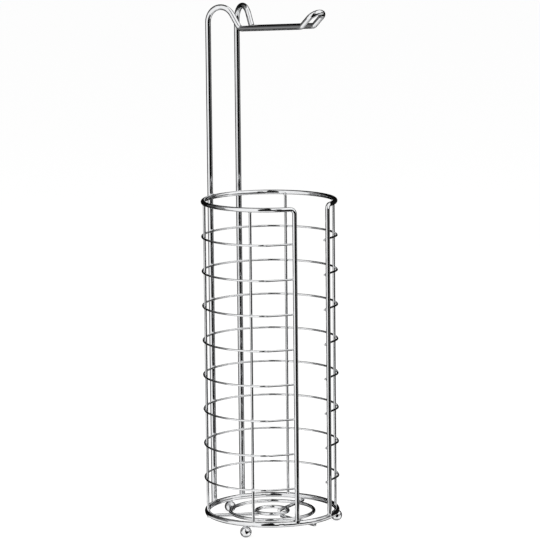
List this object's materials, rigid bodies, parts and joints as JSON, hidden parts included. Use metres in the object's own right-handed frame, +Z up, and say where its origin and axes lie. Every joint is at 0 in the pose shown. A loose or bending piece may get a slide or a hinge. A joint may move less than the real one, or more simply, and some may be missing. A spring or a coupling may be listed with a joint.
{
  "type": "toilet roll storage holder",
  "caption": "Free-standing chrome wire rack: a round open-fronted basket for spare toilet rolls, with a hooked arm above it for the roll in use.",
  "frame": {"origin": "on the floor, under the middle of the bounding box; the axis of the basket stands 4.5 mm behind it", "axes": "+Z up; the open front of the basket and the tip of the arm face -Y; the rack is symmetric about X = 0, but for the angles of its spokes and feet, and +X is on the right of a person who faces its front"},
  "size_m": [0.144, 0.1592, 0.5525],
  "materials": {
    "chrome_wire": "bright chrome plate, polished, over steel wire"
  },
  "bodies": {
    "root": {"stand_rod": "chrome_wire", "top_ring": "chrome_wire", "hoop_1": "chrome_wire", "hoop_2": "chrome_wire", "hoop_3": "chrome_wire", "hoop_4": "chrome_wire", "hoop_5": "chrome_wire", "hoop_6": "chrome_wire", "hoop_7": "chrome_wire", "hoop_8": "chrome_wire", "upright_back_right": "chrome_wire", "upright_back_left": "chrome_wire", "upright_front_left": "chrome_wire", "upright_front_right": "chrome_wire", "base_ring": "chrome_wire", "middle_ring": "chrome_wire", "centre_ring": "chrome_wire", "spoke_front": "chrome_wire", "spoke_back_right": "chrome_wire", "spoke_back_left": "chrome_wire", "foot_back": "chrome_wire", "foot_front_left": "chrome_wire", "foot_front_right": "chrome_wire"}
  },
  "joints": []
}
